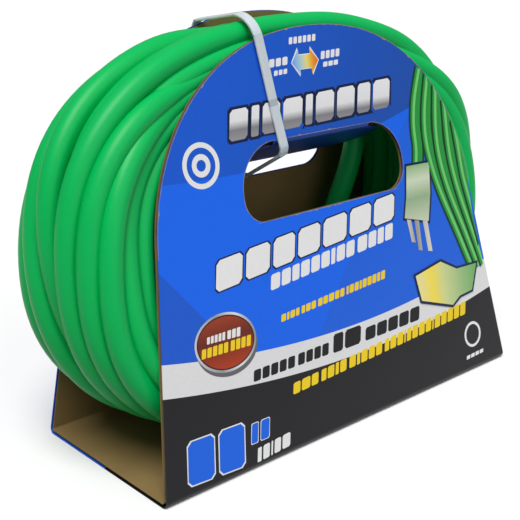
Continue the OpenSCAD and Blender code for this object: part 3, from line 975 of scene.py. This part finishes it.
white_ink = ink_finish("white_ink", (0.80, 0.80, 0.80))
black_ink = ink_finish("black_ink", (0.010, 0.010, 0.012))
navy_ink = ink_finish("navy_ink", (0.006, 0.014, 0.06))
yellow_ink = ink_finish("yellow_ink", (0.86, 0.62, 0.02))
blue_ink = ink_finish("blue_ink", (0.014, 0.13, 0.74))
title = [9, 8.5, 8, 8.5, 9.5, 9, 9]
title_at = ((-0.0676, 0.0745), (0.0365, 0.0835), (0.0118, 0.0112))
ink("title_shadow", blocks(*title_at, title, gap=0.0020, grow=0.0006), navy_ink)
ink("title_blocks", blocks(*title_at, title, gap=0.0020), white_ink, 2)
subtitle = [5, 5, 4, 5, 5, 5, 2.4, 5, 5, 0.2, 6, 5, 4, 5]
ink("subtitle_blocks", blocks((-0.0402, 0.0688), (0.0342, 0.0752), (0.0062, 0.0068), subtitle,
    gap=0.0009), white_ink)
note = [4, 2, 4, 3, 0.2, 3, 4, 4, 0.2, 4, 4, 5, 4, 4, 0.2, 2, 4, 4, 2, 4, 4, 4, 3, 4]
ink("note_blocks", blocks((-0.0370, 0.0550), (0.0262, 0.0586), (0.0029, 0.0038), note, gap=0.0006),
    yellow_ink)
ink("band_blocks", blocks((-0.0556, 0.0353), (-0.0135, 0.0349), (0.0045, 0.0050),
    [4, 4, 4, 4, 4, 0.2, 4, 4, 4, 4],
                          gap=0.0008) + blocks((-0.0108, 0.0345), (0.0062, 0.0345), (0.0078, 0.0078), [3, 5])
    + blocks((0.0092, 0.0345), (0.0455, 0.0348), (0.0056, 0.0064), [4, 4, 4, 4, 4], gap=0.0009), black_ink)
rating = [4, 5, 4, 0.2, 3, 4, 2, 4, 0.2, 4, 2, 4, 4, 4, 0.2, 3, 4, 4, 1, 3, 4, 4, 4, 1, 4, 4, 4, 4, 4]
ink("rating_blocks", blocks((-0.0360, 0.0240), (0.0785, 0.0290), (0.0046, 0.0062), rating, gap=0.0008),
    yellow_ink)

big = ((-0.0938, 0.0055), (-0.0660, 0.0040), (0.0165, 0.0170))
ink("length_outline", blocks(*big, [5, 5], gap=0.0026, lean=0.16, grow=0.0005)
    + blocks((-0.0612, 0.0112), (-0.0518, 0.0112), (0.0078, 0.0078), [3, 4], gap=0.0016, grow=0.0003),
        white_ink)
ink("length_blocks", blocks(*big, [5, 5], gap=0.0026, lean=0.16)
    + blocks((-0.0612, 0.0112), (-0.0518, 0.0112), (0.0078, 0.0078), [3, 4], gap=0.0016), blue_ink, 2)
ink("metric_blocks", blocks((-0.0595, 0.0030), (-0.0415, 0.0040), (0.0056, 0.0056), [2.4, 4, 1, 4, 5],
    gap=0.0009),
    white_ink)
ink("corner_mark", [ellipse(0.0825, 0.0180, 0.0062, 0.0062), ellipse(0.0825, 0.0180, 0.0049, 0.0049)]
    + blocks((0.0760, 0.0068), (0.0890, 0.0072), (0.0018, 0.0018), [4, 4, 4, 4], gap=0.0006), white_ink)

# A round mark, a long silver bar and a two-way arrow with small bars beside it, near the top
silver_ink = ink_shaded("silver_ink", "Z", [
    (0.1270, (0.30, 0.30, 0.32)), (0.1312, (0.22, 0.22, 0.24)), (0.1345, (0.75, 0.75, 0.77)), (0.1400,
        (0.80, 0.80, 0.82))])
name_at = ((-0.0505, 0.1300), (0.0420, 0.1325), (0.0118, 0.0125))
name_blocks = [7, 3, 7, 8, 3, 8, 8, 6, 8]
ink("bar_outline", blocks(*name_at, name_blocks, gap=0.0019, grow=0.0011), navy_ink)
ink("bar_blocks", blocks(*name_at, name_blocks, gap=0.0019), silver_ink, 2)
mark = (-0.0655, 0.1232)
ink("round_mark", [ellipse(*mark, 0.0088, 0.0088), ellipse(*mark, 0.0068, 0.0068),
    ellipse(*mark, 0.0044, 0.0044),
                   ellipse(*mark, 0.0022, 0.0022)], white_ink)


def two_way(grow):
    x0, x1, v = -0.0124 - grow, 0.0024 + grow, 0.1566
    head, shaft, tall = 0.0042 + 0.3 * grow, 0.0027 + grow * 0.7, 0.0052 + 1.4 * grow
    return [[(x0, v), (x0 + head, v - tall), (x0 + head, v - shaft), (x1 - head, v - shaft), (x1 - head,
        v - tall),
             (x1, v), (x1 - head, v + tall), (x1 - head, v + shaft), (x0 + head, v + shaft), (x0 + head,
             v + tall)]]


ink("arrow_outline", two_way(0.0005), white_ink)
ink("two_way_arrow", two_way(0), ink_shaded("arrow_ink", "X", [
    (-0.0124, (0.10, 0.36, 0.85)), (-0.0070, (0.45, 0.62, 0.62)), (-0.0040, (0.80, 0.68, 0.16)),
    (-0.0010, (0.80, 0.34, 0.03)), (0.0024, (0.75, 0.12, 0.01))]), 2)
ink("small_bars", blocks((-0.0250, 0.1558), (-0.0150, 0.1562), (0.0032, 0.0032), [3, 3, 3], gap=0.0008)
    + blocks((-0.0230, 0.1524), (-0.0158, 0.1527), (0.0020, 0.0020), [3, 3, 3], gap=0.0006)
    + blocks((0.0040, 0.1566), (0.0150, 0.1570), (0.0032, 0.0032), [3, 3, 3, 3], gap=0.0007)
    + blocks((0.0048, 0.1534), (0.0136, 0.1537), (0.0020, 0.0020), [3, 3, 3], gap=0.0006)
    + blocks((-0.0128, 0.1640), (0.0022, 0.1644), (0.0027, 0.0027), [3, 3, 3, 3, 3, 3], gap=0.0007),
        white_ink)

# A red badge in a silver rim, with a white and a yellow row of blocks
badge = (-0.0662, 0.0546)
ink("badge_edge", [ellipse(badge[0] + 0.0004, badge[1] - 0.0019, 0.0152, 0.0116, -0.12)],
    ink_finish("dark_silver_ink", (0.13, 0.13, 0.14)), 2)
ink("badge_rim", [ellipse(*badge, 0.0153, 0.0117, -0.12)], ink_shaded("rim_ink", "X", [
    (-0.082, (0.62, 0.62, 0.64)), (-0.070, (0.30, 0.30, 0.32)), (-0.060, (0.75, 0.75, 0.76)), (-0.051,
        (0.26, 0.26, 0.28))]), 3)
ink("badge_line", [ellipse(*badge, 0.0143, 0.0107, -0.12)], black_ink, 4)
ink("badge_face", [ellipse(*badge, 0.0138, 0.0102, -0.12)], ink_shaded("badge_ink", "Z", [
    (0.043, (0.42, 0.05, 0.016)), (0.049, (0.28, 0.035, 0.014)), (0.055, (0.13, 0.022, 0.012)), (0.064,
        (0.34, 0.05, 0.02))]), 5)
ink("badge_white_blocks", blocks((-0.0755, 0.0562), (-0.0590, 0.0552), (0.0026, 0.0036),
    [3, 3, 3, 3, 3, 0.2, 4, 4, 4],
                                 gap=0.0005), white_ink, 6)
ink("badge_yellow_blocks", blocks((-0.0790, 0.0512), (-0.0545, 0.0502), (0.0036, 0.0042),
    [4, 4, 4, 4, 4, 0.2, 4, 4, 4, 4],
                                  gap=0.0006), yellow_ink, 6)

# A drawing of the coil and its two ends down the right side
strand_shade = ink_finish("strand_shade_ink", (0.004, 0.045, 0.012))
strand_ink = ink_finish("strand_ink", (0.022, 0.29, 0.05))
strand_light = ink_finish("strand_light_ink", (0.16, 0.60, 0.16))
strands = [
    [(0.066, 0.147), (0.0605, 0.134), (0.0580, 0.122), (0.0580, 0.112), (0.0560, 0.102)],
    [(0.071, 0.143), (0.0665, 0.128), (0.0655, 0.113), (0.0700, 0.094), (0.0795, 0.072), (0.0880, 0.052)],
    [(0.076, 0.138), (0.0735, 0.124), (0.0730, 0.109), (0.0770, 0.091), (0.0855, 0.070), (0.0935, 0.050)],
    [(0.081, 0.131), (0.0805, 0.118), (0.0810, 0.104), (0.0845, 0.088), (0.0910, 0.069), (0.0975, 0.050)],
    [(0.086, 0.121), (0.0875, 0.108), (0.0890, 0.094), (0.0930, 0.078), (0.0975, 0.060)]]
for i, strand in enumerate(strands):
    ink("strand_shade_%d" % i, [ribbon(strand, 0.0086)], strand_shade, 3 * i + 1)
    ink("strand_%d" % i, [ribbon(strand, 0.0062)], strand_ink, 3 * i + 2)
    ink("strand_light_%d" % i, [ribbon([(x - 0.0011, v) for x, v in strand], 0.0016)],
        strand_light, 3 * i + 3)
pale_ink = ink_shaded("drawn_clear_ink", "Z", [
    (0.078, (0.55, 0.62, 0.46)), (0.088, (0.30, 0.44, 0.26)), (0.096, (0.62, 0.70, 0.52)), (0.104,
        (0.20, 0.42, 0.16))])
ink("drawn_plug_outline", [[(0.0478, 0.1062), (0.0655, 0.1055), (0.0640, 0.0900), (0.0605, 0.0768),
    (0.0425, 0.0815),
                            (0.0455, 0.0920)]], navy_ink, 4)
ink("drawn_plug", [[(0.0488, 0.1050), (0.0645, 0.1045), (0.0630, 0.0905), (0.0597, 0.0780), (0.0437, 0.0823),
                    (0.0465, 0.0920)]], pale_ink, 5)
ink("drawn_pins", [[(0.0450, 0.0815), (0.0478, 0.0808), (0.0492, 0.0700), (0.0466, 0.0708)],
                   [(0.0500, 0.0802), (0.0530, 0.0795), (0.0532, 0.0655), (0.0506, 0.0662)],
                   [(0.0556, 0.0790), (0.0588, 0.0782), (0.0600, 0.0638), (0.0571, 0.0645)]],
    ink_shaded("drawn_metal_ink", "X", [(0.044, (0.72, 0.70, 0.62)), (0.050, (0.30, 0.29, 0.27)), (0.060,
        (0.70, 0.68, 0.6))]), 5)
ink("drawn_connector_outline", [[(0.0450, 0.0560), (0.0475, 0.0420), (0.0700, 0.0345), (0.0765, 0.0378),
    (0.0860, 0.0385),
                                 (0.0920, 0.0525), (0.0760, 0.0530), (0.0650, 0.0590)]], navy_ink, 16)
ink("drawn_connector", [[(0.0462, 0.0550), (0.0486, 0.0429), (0.0700, 0.0357), (0.0757, 0.0388),
    (0.0852, 0.0395),
                         (0.0905, 0.0515), (0.0755, 0.0520), (0.0645, 0.0578)]],
                         ink_shaded("drawn_glow_ink", "X", [
                             (0.046, (0.78, 0.74, 0.40)), (0.057, (0.90, 0.72, 0.08)), (0.066,
                             (0.60, 0.66, 0.30)),
                             (0.080, (0.30, 0.50, 0.22)), (0.090, (0.16, 0.42, 0.12))]), 17)

# Cut board shows a ragged pale line of torn fibre along its edges
edge_draw = np.random.default_rng(5)


def torn(outline, centre, low, high):
    """An outline, and the same drawn in towards a point by an uneven amount."""
    outline = spaced([(x, v, 0) for x, v in outline], 0.0012)[:, :2]
    away = outline - np.array(centre)
    far = np.linalg.norm(away, axis=1)
    amount = edge_draw.uniform(low, high, len(outline)) * (1 + 1.6 * (edge_draw.random(len(outline)) > 0.95))
    return [tuple(p) for p in outline], [tuple(p) for p in outline - away * (amount / far)[:, None]]


fibre = finish_of("torn_fibre", (0.30, 0.25, 0.19), 0.8, 90, 2500, 0.5, 0.00002, Specular_IOR_Level=0.2)
cut, inner = torn(arch(), (0, 0.07), 0.00012, 0.00034)
hole_cut, hole_inner = torn(hand_hole() + hand_hole()[:1], (0, 0.112), -0.00036, -0.00012)
edge = flat_sheet("torn_edges", [cut + inner[::-1], hole_cut[:-1], hole_inner[:-1]], -ink_t * 0.9,
    -ink_t * 0.1)
reshape(edge, on_panel, side=-1)
edge.data.materials.append(fibre)
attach(edge, "root")


# ---- cable tie -----------------------------------------------------------------------------
# A natural nylon tie, moulded in one piece: a strap with fine teeth inside, a square head on
# the back panel that the strap passes out through, and a sprung pawl that holds its teeth.
tie_w = 0.0044
tie_t = 0.00115
tie_x = -0.027
tie_tip = math.radians(-8)
tie_pivot_z = 0.146
tie_stand = 0.00085
head_v = 0.150


def panel_side(side, v, n):
    """A point in (y, z) at a height up a panel's slope and n outside its face."""
    lean = leans[side]
    y = base_d / 2 - v * math.sin(lean) + n * math.cos(lean)
    return (side * y, v * math.cos(lean) + n * math.sin(lean))


# Corners of the strap's route in (y, z), with the radius of each bend
tie_route = [
    (panel_side(1, head_v + 0.0046, 0.0032), 0), (panel_side(1, head_v + 0.0076, 0.0032), 0.003),
    (panel_side(1, head_v + 0.0126, tie_stand), 0.003), (panel_side(1, 0.1690, tie_stand), 0.004),
    ((-0.0060, 0.1746), 0.011), (panel_side(-1, 0.1420, tie_stand), 0.150),
    (panel_side(-1, 0.1215, tie_stand), 0.0045), ((0.012, 0.1026), 0.008),
    (panel_side(1, 0.119, tie_stand), 0.004), (panel_side(1, head_v, tie_stand), 0.0018),
    (panel_side(1, head_v, 0.0094), 0)]


def rounded_route(route):
    """The route with an arc at each corner."""
    line = [route[0][0]]
    for (before, _), (corner, r), (after, _) in zip(route, route[1:], route[2:]):
        p = np.array(corner)
        a = np.array(before) - p
        b = np.array(after) - p
        a = a / np.linalg.norm(a)
        b = b / np.linalg.norm(b)
        half = math.acos(max(-1, min(1, a @ b))) / 2
        mid = (a + b) / np.linalg.norm(a + b)
        centre = p + mid * r / math.sin(half)
        start = p + a * r / math.tan(half) - centre
        side = np.sign(a[0] * b[1] - a[1] * b[0])
        for t in np.linspace(0, 1, 13):
            turn = -side * (math.pi - 2 * half) * t
            c, s = math.cos(turn), math.sin(turn)
            line.append(tuple(centre + [start[0] * c - start[1] * s, start[0] * s + start[1] * c]))
    return line + [route[-1][0]]


def in_tie_plane(points):
    """Turns (across, y, z) points about the tie's tilt and puts them in place."""
    points = np.array(points, float)
    up = points[:, 2] - tie_pivot_z
    x = points[:, 0] * math.cos(tie_tip) + up * math.sin(tie_tip) + tie_x
    z = -points[:, 0] * math.sin(tie_tip) + up * math.cos(tie_tip) + tie_pivot_z
    return np.stack([x, points[:, 1], z], -1)


tooth_step = 0.0012
centre = spaced([(0, y, z) for y, z in rounded_route(tie_route)], tooth_step / 3)
run = np.gradient(centre, axis=0)
run /= np.linalg.norm(run, axis=1)[:, None]
outward = np.stack([np.zeros(len(run)), -run[:, 2], run[:, 1]], -1)
half_w, half_t, soft = tie_w / 2, tie_t / 2, 0.0003
section = [(half_w - soft, half_t), (half_w, half_t - soft), (half_w, soft - half_t), (half_w - soft,
    -half_t),
           (half_w * 0.55, -half_t), (half_w * 0.5, -half_t), (-half_w * 0.5, -half_t), (-half_w * 0.55,
           -half_t),
           (soft - half_w, -half_t), (-half_w, soft - half_t), (-half_w, half_t - soft), (soft - half_w,
           half_t)]
rows, faces = [], []
count = len(section)
for i, (p, out) in enumerate(zip(centre, outward)):
    tooth = 0.00022 if i % 3 == 0 else 0
    for k, (across, thick) in enumerate(section):
        depth = thick + (tooth if k in (5, 6) else 0)
        rows.append((across, p[1] - out[1] * depth, p[2] - out[2] * depth))
    if i:
        a, b = (i - 1) * count, i * count
        faces += [(a + k, a + (k + 1) % count, b + (k + 1) % count, b + k) for k in range(count)]
faces += [tuple(range(count))[::-1], tuple(range(len(rows) - count, len(rows)))]
mesh = bpy.data.meshes.new("strap")
mesh.from_pydata(rows, [], faces)
strap = bpy.data.objects.new("strap", mesh)
bpy.context.collection.objects.link(strap)
reshape(strap, in_tie_plane)
nylon = finish_of("natural_nylon", (0.66, 0.72, 0.76), 0.32, 60, 600, 0.06, 0.00002, Subsurface_Weight=0.35,
                  Subsurface_Scale=0.002, Transmission_Weight=0.12)
strap.data.materials.append(nylon)
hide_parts("tie_strap")
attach(strap, "root")


def dress(names, material):
    """Gives CAD parts a finish, on every face."""
    for name in names:
        data = bpy.data.objects[name].data
        data.materials.clear()
        data.materials.append(material)


def softened(name, node, material, body, width):
    """A moulded piece in a CAD part's place, with its edges rounded."""
    bpy.ops.object.select_all(action="DESELECT")
    piece = bpy.data.objects[node].copy()
    piece.data = piece.data.copy()
    piece.name = name
    piece.data.name = name
    bpy.context.collection.objects.link(piece)
    bpy.context.view_layer.objects.active = piece
    piece.select_set(True)
    piece.data.materials.clear()
    piece.data.materials.append(material)
    bpy.ops.object.mode_set(mode="EDIT")
    bpy.ops.mesh.select_all(action="SELECT")
    bpy.ops.mesh.remove_doubles(threshold=0.000002)
    bpy.ops.mesh.dissolve_limited(angle_limit=math.radians(1))
    bpy.ops.object.mode_set(mode="OBJECT")
    edge = piece.modifiers.new("edge", "BEVEL")
    edge.width = width
    edge.segments = 3
    edge.limit_method = "ANGLE"
    edge.angle_limit = math.radians(40)
    bpy.ops.object.modifier_apply(modifier="edge")
    bpy.ops.object.shade_smooth_by_angle(angle=math.radians(40))
    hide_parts(node)
    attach(piece, body)
    return piece


softened("moulded_head", "tie_head", nylon, "root", 0.0004)
dress(["tie_pawl"], nylon)


# ---- plug and connector ----------------------------------------------------------------------
# Clear vinyl moulded over a green core, the copper wires and the brass, with a ribbed tail that
# tapers onto the cord. The connector has a lamp in it that shows when the power is on.
clear_vinyl = finish_of("clear_vinyl",
    (0.86, 0.93, 0.88), 0.12, 60, 500, 0.05, 0.00002, Transmission_Weight=0.9,
                        IOR=1.45)
bridge = finish_of("bridge_plastic", (0.03, 0.30, 0.09), 0.42, 50, 900, 0.12, 0.00002)
brass = finish_of("rolled_brass", (0.78, 0.56, 0.24), 0.24, 70, 1400, 0.14, 0.000015, Metallic=1.0)
black_wire = finish_of("black_insulation", (0.014, 0.014, 0.015), 0.45, 60, 1200, 0.2, 0.00001)
white_wire = finish_of("white_insulation", (0.72, 0.72, 0.70), 0.45, 60, 1200, 0.08, 0.00001)
green_wire = finish_of("green_insulation", (0.02, 0.26, 0.07), 0.45, 60, 1200, 0.12, 0.00001)
lamp_glass = finish_of("lamp_glass", (1.0, 0.62, 0.25), 0.08, 80, 600, 0.05, 0.00001, Transmission_Weight=0.8)
ceramic = finish_of("resistor_ceramic", (0.52, 0.40, 0.26), 0.5, 90, 1500, 0.2, 0.00001)
finishes = {
    "clear_moulding": clear_vinyl, "bridge_plastic": bridge, "contact_brass": brass, "line_wire": black_wire,
    "neutral_wire": white_wire, "ground_wire": green_wire, "lamp_glass": lamp_glass,
    "resistor_ceramic": ceramic}
part_slots = {
    "clear_moulding": ["plug_body", "connector_body"],
    "bridge_plastic": ["plug_core", "connector_core"],
    "contact_brass": ["plug_line_blade", "plug_neutral_blade", "plug_ground_pin", "connector_line_contact",
                      "connector_neutral_contact", "connector_ground_contact"],
    "line_wire": ["plug_line_wire", "connector_line_wire"],
    "neutral_wire": ["plug_neutral_wire", "connector_neutral_wire"],
    "ground_wire": ["plug_ground_wire", "connector_ground_wire"],
    "lamp_glass": ["indicator_lamp"],
    "resistor_ceramic": ["lamp_resistor"]}
for slot, names in part_slots.items():
    dress(names, finishes[slot])
dress(["plug_strain_relief", "connector_strain_relief"], clear_vinyl)
